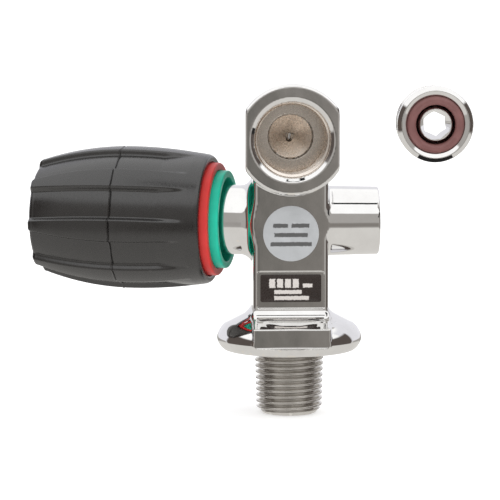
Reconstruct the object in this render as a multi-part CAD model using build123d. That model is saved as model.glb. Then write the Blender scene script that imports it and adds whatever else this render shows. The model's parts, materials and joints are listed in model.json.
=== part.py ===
from build123d import *
import os
from math import atan, cos, degrees, pi, radians, sin, tan

# A scuba cylinder valve with a red/green indicating hand knob and a loose DIN insert. Millimetres.
# Origin: centre of the flange's underside, on the tank thread's axis. +Z is up, -Y is the side with the gas
# outlet, -X is the knob's side. Pieces on the knob's axis are drawn upright in the control frame, where
# height is the distance outward from the valve's centre, and are then laid over.
# The forged body is one casting in life. It is six nodes here, tank stub, flange, block, head, neck and side
# stub, that meet face to face, so that each has a simple collision shape.

# ---- driving dimensions ----
FLANGE_RADIUS = 22.5
FLANGE_RIM_TOP = 6.7
FLANGE_SLOPE = 26.5
FLANGE_BOTTOM_ROUND = 2.8
FLANGE_TOP_ROUND = 3.6
STAMP_FLAT_Y = -19.2
STAMP_FLAT_BOTTOM = 2.6
STAMP_FLAT_HALF_WIDTH = 11.8
FOOT_SLOPE = 17.0

NPT_PITCH = 1.814
NPT_TOP_RADIUS = 10.67
NPT_TAPER = 1 / 32
NPT_DEPTH = 1.3
NPT_LENGTH = 20.0
NPT_END_CHAMFER = 1.8
TANK_BORE_RADIUS = 3.0
DIP_TUBE_RADIUS = 4.0
DIP_TUBE_DEPTH = 10.0

COLUMN_HALF_WIDTH = 11.5
COLUMN_FRONT_Y = -10.8
COLUMN_BACK_Y = 13.0
COLUMN_TOP = 60.0
COLUMN_EDGE_ROUND = 1.6
POCKET_WIDTH = 20.4
POCKET_BOTTOM = 13.6
POCKET_TOP = 24.9
POCKET_DEPTH = 0.8

PORT_Z = 39.5
SIDE_BOSS_RADIUS = 10.45
SIDE_BOSS_ROOT_RADIUS = 10.8
SIDE_BOSS_END_X = 27.4
SIDE_BORE_RADIUS = 7.0
SIDE_BORE_DEPTH = 10.0

HEAD_Z = 66.0
HEAD_RADIUS = 16.9
HEAD_BACK_RADIUS = 13.4
HEAD_FRONT_Y = -20.0
HEAD_TAPER_START_Y = -12.0
HEAD_BACK_Y = 15.5
HEAD_HALF_WIDTH = 14.2
HEAD_CHAMFER = 0.7
DIMPLE_RADIUS = 5.0
DIMPLE_DEPTH = 3.5

DIN_RADIUS = 11.456
DIN_MINOR_RADIUS = 10.29
DIN_PITCH = 1.814
DIN_MOUTH_RADIUS = 12.8
DIN_MOUTH_DEPTH = 1.0
DIN_DEPTH = 13.0
RECESS_RADIUS = 6.9
RECESS_DEPTH = 14.5
OUTLET_RADIUS = 1.2
OUTLET_START = (-6.5, 0.6, 42.0)
DRILL_POINT_HALF_ANGLE = 59.0

CONTROL_TILT = 14.5
CONTROL_ORIGIN_Y = -1.0
NECK_RADIUS = 10.75
NECK_END = 24.0
ORIFICE_RADIUS = 2.0
SEAT_T = 4.5
CHAMBER_RADIUS = 5.9
BONNET_SEAT_T = 11.0
BONNET_RADIUS = 8.55
BONNET_BORE_GAP = 0.05
SPINDLE_TRAVEL = 3.25
KNOB_TRAVEL = 2.6

SLEEVE_INNER_RADIUS = 13.0
SLEEVE_OUTER_RADIUS = 15.1
SLEEVE_FACE_T = 19.3
RING_OUTER_RADIUS = 17.45
RING_FACE_T = 22.06
INDICATOR_BACK_T = 27.0
BARREL_INNER_RADIUS = 11.2
BARREL_END_T = 38.0

KNOB_LIP_T = 24.5
KNOB_LIP_RADIUS = 19.8
KNOB_BORE_RADIUS = 17.75
KNOB_WIDEST_T = 50.0
KNOB_WIDEST_RADIUS = 22.1
KNOB_END_T = 79.0
KNOB_END_RADIUS = 17.2
FLUTE_COUNT = 8
FLUTE_FIRST_ANGLE = 17.5
FLUTE_HALF_WIDTH = 4.9
FLUTE_DEPTH = 1.6
FLUTE_START_T = 28.5
FLUTE_FULL_T = 38.0
CORE_START_T = 30.2
CORE_STEP_T = 64.0
CORE_STEP_RADIUS = 15.5
CORE_END_T = 74.0
HUB_START_T = 41.5
HUB_END_T = 56.0
KNOB_CAVITY_RADIUS = 8.5
CAP_RADIUS = 12.0

STEM_RADIUS = 3.5
RUNNING_GAP = 0.06
SQUARE_DRIVE = 4.9
SQUARE_START_T = 34.0
SQUARE_END_T = 62.5
STEM_TIP_RADIUS = 2.2
STEM_TIP_T = 67.5

BURST_Z = 27.0
BURST_PAD_RADIUS = 8.0
BURST_PAD_Y = 14.5
BURST_BORE_RADIUS = 4.7
BURST_SEAT_Y = 5.4
BURST_VENT_RADIUS = 1.5

INSERT_CENTRE = (42.1, -31.0, 71.5)
INSERT_LENGTH = 10.0
INSERT_THREAD_RADIUS = 11.4
INSERT_RIM_RADIUS = 10.0
INSERT_BOSS_RADIUS = 4.75
INSERT_HEX = 6.4
INSERT_HEX_TURN = 6.0
FACE_GROOVE = (5.9, 8.6)
FACE_GROOVE_DEPTH = 2.2
FACE_ORING = (7.2, 1.35)

STICKER_CENTRE_Z = 36.7
STICKER_RADIUS = 8.5
STICKER_THICKNESS = 0.15
LABEL_SIZE = (18.6, 8.5)
LABEL_CENTRE_Z = 19.8
LABEL_THICKNESS = 0.2

# ---- frames: local Z of each points out of the valve ----
CONTROL = Plane(
    origin=(0, CONTROL_ORIGIN_Y, PORT_Z),
    x_dir=(-sin(radians(CONTROL_TILT)), -cos(radians(CONTROL_TILT)), 0),
    z_dir=(-cos(radians(CONTROL_TILT)), sin(radians(CONTROL_TILT)), 0),
)
SOCKET = Plane(origin=(0, HEAD_FRONT_Y, HEAD_Z), x_dir=(1, 0, 0), z_dir=(0, -1, 0))
SIDE = Plane(origin=(0, 0, PORT_Z), x_dir=(0, 1, 0), z_dir=(1, 0, 0))
REAR = Plane(origin=(0, 0, BURST_Z), x_dir=(-1, 0, 0), z_dir=(0, 1, 0))
INSERT = Plane(origin=INSERT_CENTRE, x_dir=(1, 0, 0), z_dir=(0, -1, 0))


# ---- shared shapes, all about local Z ----
def disc(radius, low, high):
    return Pos(0, 0, (low + high) / 2) * Cylinder(radius, high - low)


def ring(inner, outer, low, high):
    return disc(outer, low, high) - disc(inner, low - 1, high + 1)


def prism(width, depth, low, high):
    return Pos(0, 0, (low + high) / 2) * Box(width, depth, high - low)


def hexagon(across_flats, low, high):
    outline = RegularPolygon(across_flats / 2, 6, major_radius=False)
    return Pos(0, 0, low) * extrude(outline, high - low)


def turned(*corners):
    """The solid swept by an outline of (radius, height) corners."""
    return revolve(Plane.XZ * make_face(Polyline(*corners, close=True)), Axis.Z)


def cord_ring(mean_radius, cord_radius, height):
    return Pos(0, 0, height) * Torus(mean_radius, cord_radius)


def drill_point(radius, height, direction):
    """The cone left by a drill, its base at the height and its tip in the direction along Z."""
    depth = radius / tan(radians(DRILL_POINT_HALF_ANGLE))
    return turned((0, height), (radius, height), (0, height + direction * depth))


def thread_ridge(root_radius, depth, pitch, low, high, taper=0.0):
    """A helical ridge with a cut-off V section. Its root radius, given at the low end, grows by the taper."""
    embed = 0.1
    lean = degrees(atan(taper))
    path = Edge.make_helix(pitch, high - low, root_radius - embed, center=(0, 0, low), angle=lean)
    start = path @ 0
    section_plane = Plane(origin=start, x_dir=(start.X, start.Y, 0), z_dir=path % 0)
    half_base = 0.47 * pitch
    half_crest = 0.055 * pitch
    height = depth + embed
    section = make_face(
        Polyline((0, -half_base), (height, -half_crest), (height, half_crest), (0, half_base), close=True)
    )
    return sweep(section_plane * section, path=path, is_frenet=True)


# ---- valve body ----
def flange():
    top = FLANGE_RIM_TOP + FLANGE_RADIUS * tan(radians(FLANGE_SLOPE))
    body = turned((0, 0), (FLANGE_RADIUS, 0), (FLANGE_RADIUS, FLANGE_RIM_TOP), (0, top))
    rims = body.edges().filter_by(GeomType.CIRCLE).sort_by(Axis.Z)
    body = fillet(rims[-1], FLANGE_TOP_ROUND)
    rims = body.edges().filter_by(GeomType.CIRCLE).sort_by(Axis.Z)
    return fillet(rims[0], FLANGE_BOTTOM_ROUND)


def foot_tops():
    """Heights of the foot's sloping top, at the stamp flat and at the column."""
    outer_top = FLANGE_RIM_TOP + (FLANGE_RADIUS + STAMP_FLAT_Y) * tan(radians(FLANGE_SLOPE))
    return outer_top, outer_top + (COLUMN_FRONT_Y - STAMP_FLAT_Y) * tan(radians(FOOT_SLOPE))


def foot_block(*corners):
    """A block as wide as the foot with an outline of (y, z) corners."""
    return extrude(Plane.YZ * make_face(Polyline(*corners, close=True)), STAMP_FLAT_HALF_WIDTH, both=True)


def foot():
    """The wedge on the flange's front between the stamp flat and the column."""
    outer_top, inner_top = foot_tops()
    back = COLUMN_FRONT_Y + 1
    return foot_block(
        (STAMP_FLAT_Y, STAMP_FLAT_BOTTOM),
        (STAMP_FLAT_Y, outer_top),
        (COLUMN_FRONT_Y, inner_top),
        (back, inner_top),
        (back, STAMP_FLAT_BOTTOM),
    )


def foot_cut():
    """What the foot's sloping top takes off the flange's cone."""
    outer_top, inner_top = foot_tops()
    above = inner_top + 5
    return foot_block(
        (STAMP_FLAT_Y, outer_top),
        (COLUMN_FRONT_Y, inner_top),
        (COLUMN_FRONT_Y, above),
        (STAMP_FLAT_Y, above),
    )


def stamp_flat_cut():
    """What the flat takes off the round rim, down to a narrow shelf."""
    depth = FLANGE_RADIUS + STAMP_FLAT_Y + 1
    centre = (0, STAMP_FLAT_Y - depth / 2, STAMP_FLAT_BOTTOM + 10)
    return Pos(*centre) * Box(2 * FLANGE_RADIUS, depth, 20)


def column():
    depth = COLUMN_BACK_Y - COLUMN_FRONT_Y
    low = FLANGE_RIM_TOP
    centre = (0, (COLUMN_FRONT_Y + COLUMN_BACK_Y) / 2, (low + COLUMN_TOP) / 2)
    block = Pos(*centre) * Box(2 * COLUMN_HALF_WIDTH, depth, COLUMN_TOP - low)
    return fillet(block.edges().filter_by(Axis.Z), COLUMN_EDGE_ROUND)


def head():
    """The round head about the socket's axis: straight at the front, tapered to the back, with flat sides."""
    straight = HEAD_TAPER_START_Y - HEAD_FRONT_Y
    full = HEAD_BACK_Y - HEAD_FRONT_Y
    body = turned(
        (0, 0),
        (HEAD_RADIUS - HEAD_CHAMFER, 0),
        (HEAD_RADIUS, -HEAD_CHAMFER),
        (HEAD_RADIUS, -straight),
        (HEAD_BACK_RADIUS, -full + HEAD_CHAMFER),
        (HEAD_BACK_RADIUS - HEAD_CHAMFER, -full),
        (0, -full),
    )
    sides = Pos(0, 0, -full / 2) * Box(2 * HEAD_HALF_WIDTH, 4 * HEAD_RADIUS, full + 2)
    return SOCKET * (body & sides)


def side_boss():
    """A slightly tapered boss, thickest where it leaves the column."""
    boss = turned(
        (0, COLUMN_HALF_WIDTH - 1),
        (SIDE_BOSS_ROOT_RADIUS, COLUMN_HALF_WIDTH - 1),
        (SIDE_BOSS_RADIUS, SIDE_BOSS_END_X),
        (0, SIDE_BOSS_END_X),
    )
    rim = boss.edges().filter_by(GeomType.CIRCLE).sort_by(Axis.Z)[-1]
    return SIDE * fillet(rim, 0.6)


def neck():
    post = disc(NECK_RADIUS, SEAT_T, NECK_END)
    rim = post.edges().filter_by(GeomType.CIRCLE).sort_by(Axis.Z)[-1]
    return CONTROL * chamfer(rim, 0.5)


def burst_pad():
    return REAR * disc(BURST_PAD_RADIUS, BURST_SEAT_Y, BURST_PAD_Y)


def label_pocket():
    height = POCKET_TOP - POCKET_BOTTOM
    block = Box(POCKET_WIDTH, 2 * POCKET_DEPTH, height)
    block = fillet(block.edges().filter_by(Axis.Y), 0.8)
    return Pos(0, COLUMN_FRONT_Y, (POCKET_TOP + POCKET_BOTTOM) / 2) * block


def socket_bores():
    slant = (DIN_MOUTH_RADIUS - DIN_RADIUS) / DIN_MOUTH_DEPTH
    depth = DIN_MOUTH_DEPTH
    mouth = turned((0, 1), (DIN_MOUTH_RADIUS + slant, 1), (DIN_RADIUS, -depth), (0, -depth))
    bore = disc(DIN_RADIUS, -DIN_DEPTH, 1)
    recess = disc(RECESS_RADIUS, -RECESS_DEPTH, 0)
    point = drill_point(RECESS_RADIUS, -RECESS_DEPTH, -1)
    return SOCKET * (mouth + bore + recess + point)


def yoke_dimple():
    back = HEAD_FRONT_Y - HEAD_BACK_Y
    rim = [(0, back - 1), (DIMPLE_RADIUS + 1, back - 1), (DIMPLE_RADIUS, back)]
    return SOCKET * turned(*rim, (0, back + DIMPLE_DEPTH))


def control_bores():
    orifice = disc(ORIFICE_RADIUS, -2, SEAT_T + 1)
    chamber = disc(CHAMBER_RADIUS, SEAT_T, NECK_END)
    bonnet = disc(BONNET_RADIUS + BONNET_BORE_GAP, BONNET_SEAT_T, NECK_END + 1)
    return CONTROL * (orifice + chamber + bonnet)


def gas_passages():
    """The drillings that lead gas from the tank to the chamber, and from the chamber up to the socket."""
    tank = disc(TANK_BORE_RADIUS, -NPT_LENGTH - 1, PORT_Z + 2.5)
    dip_tube = disc(DIP_TUBE_RADIUS, -NPT_LENGTH - 1, -NPT_LENGTH + DIP_TUBE_DEPTH)
    cone_tip = (0, HEAD_FRONT_Y + RECESS_DEPTH + RECESS_RADIUS / tan(radians(DRILL_POINT_HALF_ANGLE)), HEAD_Z)
    rise = Vector(*cone_tip) - Vector(*OUTLET_START)
    outlet = Plane(origin=OUTLET_START, z_dir=rise) * disc(OUTLET_RADIUS, 0, rise.length)
    return tank + dip_tube + outlet


def side_bores():
    floor = SIDE_BOSS_END_X - SIDE_BORE_DEPTH
    return SIDE * (disc(SIDE_BORE_RADIUS, floor, SIDE_BOSS_END_X + 1) + disc(2, 1, floor + 1))


def burst_bores():
    bore = disc(BURST_BORE_RADIUS, BURST_SEAT_Y, BURST_PAD_Y + 1)
    return REAR * (bore + disc(BURST_VENT_RADIUS, 1, BURST_SEAT_Y + 1))


def tank_thread():
    """The tapered male thread, cut off square at the flange and chamfered at the free end."""
    bottom_radius = NPT_TOP_RADIUS - NPT_LENGTH * NPT_TAPER
    root_bottom = bottom_radius - NPT_DEPTH
    overrun = 1.5
    core = turned((0, -NPT_LENGTH), (root_bottom, -NPT_LENGTH), (NPT_TOP_RADIUS - NPT_DEPTH, 0.5), (0, 0.5))
    ridge = thread_ridge(
        root_bottom - overrun * NPT_TAPER, NPT_DEPTH, NPT_PITCH, -NPT_LENGTH - overrun, 1.0, NPT_TAPER
    )
    end_radius = bottom_radius - NPT_END_CHAMFER
    envelope = turned(
        (0, -NPT_LENGTH),
        (end_radius, -NPT_LENGTH),
        (bottom_radius + 1, -NPT_LENGTH + NPT_END_CHAMFER + 1),
        (NPT_TOP_RADIUS + 1, -0.6),
        (0, -0.6),
    )
    return (core & (envelope + disc(NPT_TOP_RADIUS, -1, 1))) + (ridge & envelope)


def bored(solid, *cuts):
    for tool in cuts:
        solid -= tool
    return solid


def tank_stub():
    return bored(tank_thread() & disc(FLANGE_RADIUS, -NPT_LENGTH - 1, 0), gas_passages())


def valve_flange():
    return bored(flange() - stamp_flat_cut() - foot_cut() + foot(), column(), gas_passages())


def valve_block():
    return bored(
        column() + burst_pad(),
        head(),
        control_bores(),
        gas_passages(),
        side_bores(),
        burst_bores(),
        label_pocket(),
    )


def control_neck():
    return bored(neck(), column(), control_bores())


def side_stub():
    return bored(side_boss(), column(), side_bores())


def outlet_head():
    return bored(head(), socket_bores(), yoke_dimple(), gas_passages())


# ---- pieces fixed in the neck ----
def bonnet_nut():
    """Closes the neck, holds the stem, and clamps the indicator sleeve under its hexagon."""
    web_top = NECK_END + 1.5
    spindle_room = 19.8
    groove = ring(7.0, BONNET_RADIUS + 1, 21.0, 22.8)
    body = disc(BONNET_RADIUS, BONNET_SEAT_T + 0.3, web_top) + hexagon(18.0, web_top, 31.0)
    bore = disc(CHAMBER_RADIUS + 0.05, 0, spindle_room) + disc(STEM_RADIUS + RUNNING_GAP, 0, 40)
    return CONTROL * (body - bore - groove)


def bonnet_oring():
    return CONTROL * cord_ring(7.79, 0.77, 21.9)


def thrust_washer():
    return CONTROL * ring(STEM_RADIUS + 0.1, 5.7, 19.05, 19.75)


def green_sleeve():
    """The green indicator: a skirt round the neck, a web under the bonnet nut, and the knob's barrel."""
    web = (NECK_END, NECK_END + 1.5)
    clamp_radius = BONNET_RADIUS + 0.45
    body = turned(
        (clamp_radius, web[0]),
        (SLEEVE_INNER_RADIUS, web[0]),
        (SLEEVE_INNER_RADIUS, SLEEVE_FACE_T),
        (SLEEVE_OUTER_RADIUS, SLEEVE_FACE_T),
        (SLEEVE_OUTER_RADIUS, INDICATOR_BACK_T),
        (SLEEVE_INNER_RADIUS, INDICATOR_BACK_T),
        (SLEEVE_INNER_RADIUS, BARREL_END_T),
        (BARREL_INNER_RADIUS, BARREL_END_T),
        (BARREL_INNER_RADIUS, web[1]),
        (clamp_radius, web[1]),
    )
    face = body.edges().filter_by(GeomType.CIRCLE).sort_by(Axis.Z)[:2]
    return CONTROL * fillet(face, 0.5)


def red_ring():
    band = ring(SLEEVE_OUTER_RADIUS, RING_OUTER_RADIUS, RING_FACE_T, INDICATOR_BACK_T)
    face = band.edges().filter_by(GeomType.CIRCLE).group_by(Axis.Z)[0].sort_by(SortBy.LENGTH)[-1]
    return CONTROL * fillet(face, 0.5)


# ---- stem and spindle ----
def stem():
    tongue = prism(2.4, 7.0, 11.9, 18.0)
    collar = disc(5.5, 17.6, 19.0)
    shaft = disc(STEM_RADIUS, 19.0, SQUARE_START_T)
    drive = prism(SQUARE_DRIVE, SQUARE_DRIVE, SQUARE_START_T, SQUARE_END_T)
    tip = disc(STEM_TIP_RADIUS, SQUARE_END_T, STEM_TIP_T)
    body = tongue + collar + shaft + drive + tip
    for groove_t in (22.4, 26.4):
        body -= ring(2.5, STEM_RADIUS + 1, groove_t, groove_t + 1.2)
    return CONTROL * body


def stem_orings():
    return CONTROL * Compound([cord_ring(3.02, 0.5, 23.0), cord_ring(3.02, 0.5, 27.0)])


def seat_spindle():
    body = disc(CHAMBER_RADIUS - 0.05, 5.0, 14.0) - disc(3.62, 4.0, 6.5) - prism(2.6, 7.4, 8.4, 15.0)
    return CONTROL * body


def seat_disc():
    return CONTROL * disc(3.6, SEAT_T, 6.5)


def knob_washer():
    return CONTROL * ring(STEM_TIP_RADIUS + RUNNING_GAP, 6.5, SQUARE_END_T, SQUARE_END_T + 0.8)


def knob_nut():
    low = SQUARE_END_T + 0.8
    return CONTROL * (hexagon(7.0, low, low + 3.3) - disc(STEM_TIP_RADIUS + RUNNING_GAP, low - 1, low + 5))


# ---- knob ----
def barrel_radius(height):
    """The grip's outer radius: two arcs that meet, level, at the widest place."""
    ends = ((KNOB_LIP_T, KNOB_LIP_RADIUS), (KNOB_END_T, KNOB_END_RADIUS))
    end_t, end_radius = ends[height > KNOB_WIDEST_T]
    run = end_t - KNOB_WIDEST_T
    drop = KNOB_WIDEST_RADIUS - end_radius
    arc_radius = (run**2 + drop**2) / (2 * drop)
    return KNOB_WIDEST_RADIUS - arc_radius + (arc_radius**2 - (height - KNOB_WIDEST_T) ** 2) ** 0.5


def barrel_arc(low, high, inset=0.0):
    """The part of the grip's outline between two heights, moved in by the inset."""
    points = [(barrel_radius(t) - inset, t) for t in (low, (low + high) / 2, high)]
    return ThreePointArc(*points)


def flute_cutter(angle):
    """One shallow flat-bottomed groove that fades out towards the lip."""
    outside = KNOB_WIDEST_RADIUS + 2
    start = (barrel_radius(FLUTE_START_T), FLUTE_START_T)
    floor = [
        Line(start, (barrel_radius(FLUTE_FULL_T) - FLUTE_DEPTH, FLUTE_FULL_T)),
        barrel_arc(FLUTE_FULL_T, KNOB_WIDEST_T, FLUTE_DEPTH),
        barrel_arc(KNOB_WIDEST_T + 0.001, KNOB_END_T, FLUTE_DEPTH),
    ]
    far_end = floor[-1] @ 1
    closing = Polyline(
        (far_end.X, far_end.Y),
        (far_end.X, KNOB_END_T + 1),
        (outside, KNOB_END_T + 1),
        (outside, FLUTE_START_T),
        start,
    )
    corners = [floor[0] @ 0, floor[0] @ 1]
    low_arc = ThreePointArc(floor[0] @ 1, floor[1] @ 0.5, floor[2] @ 0)
    high_arc = ThreePointArc(floor[2] @ 0, floor[2] @ 0.5, floor[2] @ 1)
    outline = make_face([Line(*corners), low_arc, high_arc, closing])
    turn = radians(angle)
    side = Plane(origin=(0, 0, 0), x_dir=(cos(turn), sin(turn), 0), z_dir=(sin(turn), -cos(turn), 0))
    return extrude(side * outline, FLUTE_HALF_WIDTH, both=True)


def knob_grip():
    """The soft over-moulded grip, barrel-shaped, with flutes from the outer end."""
    lower = barrel_arc(KNOB_LIP_T, KNOB_WIDEST_T)
    middle = barrel_arc(KNOB_WIDEST_T + 0.001, KNOB_END_T) @ 0.5
    upper = ThreePointArc(lower @ 1, middle, (KNOB_END_RADIUS, KNOB_END_T))
    inside = Polyline(
        (KNOB_END_RADIUS, KNOB_END_T),
        (CAP_RADIUS, KNOB_END_T),
        (CAP_RADIUS, CORE_END_T),
        (CORE_STEP_RADIUS, CORE_END_T),
        (CORE_STEP_RADIUS, CORE_STEP_T),
        (KNOB_BORE_RADIUS, CORE_STEP_T),
        (KNOB_BORE_RADIUS, KNOB_LIP_T),
        (KNOB_LIP_RADIUS, KNOB_LIP_T),
    )
    body = revolve(Plane.XZ * make_face([lower, upper, inside]), Axis.Z)
    end_rim = body.edges().filter_by(GeomType.CIRCLE).group_by(Axis.Z)[-1].sort_by(SortBy.LENGTH)[-1]
    lip_rim = body.edges().filter_by(GeomType.CIRCLE).group_by(Axis.Z)[0].sort_by(SortBy.LENGTH)[-1]
    body = fillet([end_rim, lip_rim], 0.9)
    for index in range(FLUTE_COUNT):
        body -= flute_cutter(FLUTE_FIRST_ANGLE + index * 360 / FLUTE_COUNT)
    return CONTROL * body


def knob_core():
    """The hard hub: a skirt that runs on the indicator's barrel, and a web with a square hole."""
    skirt_radius = SLEEVE_INNER_RADIUS + 0.08
    body = turned(
        (skirt_radius, CORE_START_T),
        (KNOB_BORE_RADIUS, CORE_START_T),
        (KNOB_BORE_RADIUS, CORE_STEP_T),
        (CORE_STEP_RADIUS, CORE_STEP_T),
        (CORE_STEP_RADIUS, CORE_END_T),
        (KNOB_CAVITY_RADIUS, CORE_END_T),
        (KNOB_CAVITY_RADIUS, HUB_END_T),
        (0, HUB_END_T),
        (0, HUB_START_T),
        (skirt_radius, HUB_START_T),
    )
    square = SQUARE_DRIVE + 0.2
    return CONTROL * (body - prism(square, square, HUB_START_T - 1, HUB_END_T + 1))


def knob_end_cap():
    plug = disc(KNOB_CAVITY_RADIUS - 0.05, CORE_END_T - 2, CORE_END_T)
    cover = disc(CAP_RADIUS - 0.05, CORE_END_T, KNOB_END_T - 0.5)
    rim = cover.edges().filter_by(GeomType.CIRCLE).sort_by(Axis.Z)[-1]
    return CONTROL * (plug + fillet(rim, 0.8))


def knob_spring():
    wire = 0.5
    coils = 4
    low = HUB_END_T + wire + 0.05
    high = SQUARE_END_T - wire - 0.05
    path = Edge.make_helix((high - low) / coils, high - low, 4.6, center=(0, 0, low))
    section = Plane(origin=path @ 0, z_dir=path % 0) * Circle(wire)
    return CONTROL * sweep(section, path=path, is_frenet=True)


# ---- plugs ----
def side_plug():
    body = disc(SIDE_BORE_RADIUS - 0.05, 18.6, SIDE_BOSS_END_X - 0.8) + disc(5.4, 17.6, 18.6)
    return SIDE * (body - hexagon(6.0, 22.0, SIDE_BOSS_END_X))


def side_plug_oring():
    return SIDE * cord_ring(6.05, 0.58, 18.0)


def burst_plug():
    """Holds the burst disc, with cross-drilled vents so that escaping gas has no thrust."""
    head_top = BURST_PAD_Y + 5
    body = disc(BURST_BORE_RADIUS - 0.05, 6.9, BURST_PAD_Y) + hexagon(12.0, BURST_PAD_Y, head_top)
    body -= disc(BURST_VENT_RADIUS, 6, BURST_PAD_Y + 3.9)
    for turn in (0, 90):
        body -= Pos(0, 0, BURST_PAD_Y + 2.4) * Rot(90, 0, turn) * Cylinder(1.0, 30)
    return REAR * body


def burst_disc():
    return REAR * disc(4.4, 6.5, 6.9)


def burst_gasket():
    return REAR * ring(1.8, 4.5, BURST_SEAT_Y, 6.5)


# ---- DIN insert ----
def insert_body():
    """The threaded ring. Its face points along local +Z from height 0; the rest lies below."""
    bevel = INSERT_THREAD_RADIUS - INSERT_RIM_RADIUS - 0.15
    head_end = -2.2
    root = DIN_MINOR_RADIUS - 0.1
    core = turned(
        (0, 0),
        (INSERT_RIM_RADIUS + 0.15, 0),
        (INSERT_THREAD_RADIUS, -bevel),
        (INSERT_THREAD_RADIUS, head_end),
        (root, head_end),
        (root, -INSERT_LENGTH + 0.6),
        (root - 0.6, -INSERT_LENGTH),
        (0, -INSERT_LENGTH),
    )
    ridge = thread_ridge(root, INSERT_THREAD_RADIUS - root, DIN_PITCH, -INSERT_LENGTH - 1, head_end)
    body = core + (ridge & ring(root - 1, INSERT_THREAD_RADIUS + 1, -INSERT_LENGTH + 0.6, head_end))
    body -= turned(
        (INSERT_BOSS_RADIUS, 0),
        (FACE_GROOVE[0], -FACE_GROOVE_DEPTH),
        (FACE_GROOVE[1], -FACE_GROOVE_DEPTH),
        (FACE_GROOVE[1], -0.65),
        (INSERT_RIM_RADIUS, 0),
        (INSERT_RIM_RADIUS, 1),
        (INSERT_BOSS_RADIUS, 1),
    )
    body -= ring(7.3, 9.1, -INSERT_LENGTH - 1, -INSERT_LENGTH + 1.3)
    body -= turned((0, 1), (5.5, 1), (3.5, -1), (0, -1))
    return INSERT * (body - Rot(0, 0, 30 + INSERT_HEX_TURN) * hexagon(INSERT_HEX, -INSERT_LENGTH - 1, 1))


def insert_face_oring():
    return INSERT * cord_ring(*FACE_ORING, -0.8)


def insert_rear_oring():
    return INSERT * cord_ring(8.2, 0.85, -INSERT_LENGTH + 0.45)


# ---- labels ----
def round_sticker():
    turned_out = Plane(origin=(0, COLUMN_FRONT_Y, STICKER_CENTRE_Z), x_dir=(1, 0, 0), z_dir=(0, -1, 0))
    return turned_out * disc(STICKER_RADIUS, 0, STICKER_THICKNESS)


def pressure_label():
    width, height = LABEL_SIZE
    block = Box(width, LABEL_THICKNESS, height)
    block = fillet(block.edges().filter_by(Axis.Y), 0.6)
    return Pos(0, COLUMN_FRONT_Y + POCKET_DEPTH - LABEL_THICKNESS / 2, LABEL_CENTRE_Z) * block


PIECES = (
    tank_stub,
    valve_flange,
    valve_block,
    control_neck,
    side_stub,
    outlet_head,
    bonnet_nut,
    bonnet_oring,
    thrust_washer,
    green_sleeve,
    red_ring,
    stem,
    stem_orings,
    seat_spindle,
    seat_disc,
    knob_washer,
    knob_nut,
    knob_grip,
    knob_core,
    knob_end_cap,
    knob_spring,
    side_plug,
    side_plug_oring,
    burst_plug,
    burst_disc,
    burst_gasket,
    insert_body,
    insert_face_oring,
    insert_rear_oring,
    round_sticker,
    pressure_label,
)

os.makedirs("parts", exist_ok=True)
for piece in PIECES:
    export_step(piece(), f"parts/{piece.__name__}.step")
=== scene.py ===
import json
from math import cos, pi, radians, sin, sqrt, tan

import bpy
import numpy as np
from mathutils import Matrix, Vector


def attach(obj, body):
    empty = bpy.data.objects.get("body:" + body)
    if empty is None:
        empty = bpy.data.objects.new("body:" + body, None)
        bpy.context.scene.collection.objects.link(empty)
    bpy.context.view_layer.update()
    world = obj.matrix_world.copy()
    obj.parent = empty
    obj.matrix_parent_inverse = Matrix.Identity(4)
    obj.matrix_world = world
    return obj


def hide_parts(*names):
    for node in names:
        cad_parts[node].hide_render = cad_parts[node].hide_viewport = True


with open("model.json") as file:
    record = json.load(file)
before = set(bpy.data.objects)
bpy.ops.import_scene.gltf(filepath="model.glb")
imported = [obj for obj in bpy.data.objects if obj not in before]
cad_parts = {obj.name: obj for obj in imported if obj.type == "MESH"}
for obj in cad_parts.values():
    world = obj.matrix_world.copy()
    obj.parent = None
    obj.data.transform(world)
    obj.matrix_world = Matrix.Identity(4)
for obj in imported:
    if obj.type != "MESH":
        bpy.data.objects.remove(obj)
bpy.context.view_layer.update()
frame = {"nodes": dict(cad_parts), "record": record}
MM = 0.001

# ---- dimensions in millimetres, the same as the CAD part's ----
FLANGE_RADIUS = 22.5
FLANGE_RIM_TOP = 6.7
FLANGE_LEAN = radians(26.5)
FLANGE_SLOPE = tan(FLANGE_LEAN)
FLANGE_LOWER_CHAMFER = 2.0
FLANGE_TOP_ROUND = 3.6
STAMP_FLAT_Y = -19.2
STAMP_FLAT_BOTTOM = 2.6
STAMP_FLAT_HALF_WIDTH = 11.8
FOOT_SLOPE = tan(radians(17))

THREAD_PITCH = 1.814
NPT_TOP_RADIUS = 10.67
NPT_TAPER = 1 / 32
NPT_DEPTH = 1.3
NPT_LENGTH = 20
NPT_END_CHAMFER = 1.8
TANK_BORE_RADIUS = 3.0
DIP_TUBE_RADIUS = 4.0
DIP_TUBE_DEPTH = 10

COLUMN_HALF_WIDTH = 11.5
COLUMN_FRONT_Y = -10.8
COLUMN_BACK_Y = 13.0
COLUMN_TOP = 60
COLUMN_EDGE_ROUND = 1.6
POCKET_HALF_WIDTH = 10.2
POCKET_CENTRE_Z = 19.25
POCKET_HALF_HEIGHT = 5.65
POCKET_DEPTH = 0.8

PORT_Z = 39.5
SIDE_BOSS_RADIUS = 10.45
SIDE_BOSS_FLARE = 0.35
SIDE_BOSS_LENGTH = 16.9
SIDE_BOSS_END_X = 27.4
SIDE_BORE_RADIUS = 7.0
SIDE_BORE_DEPTH = 10.0
SIDE_PASSAGE_RADIUS = 2.0

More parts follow.
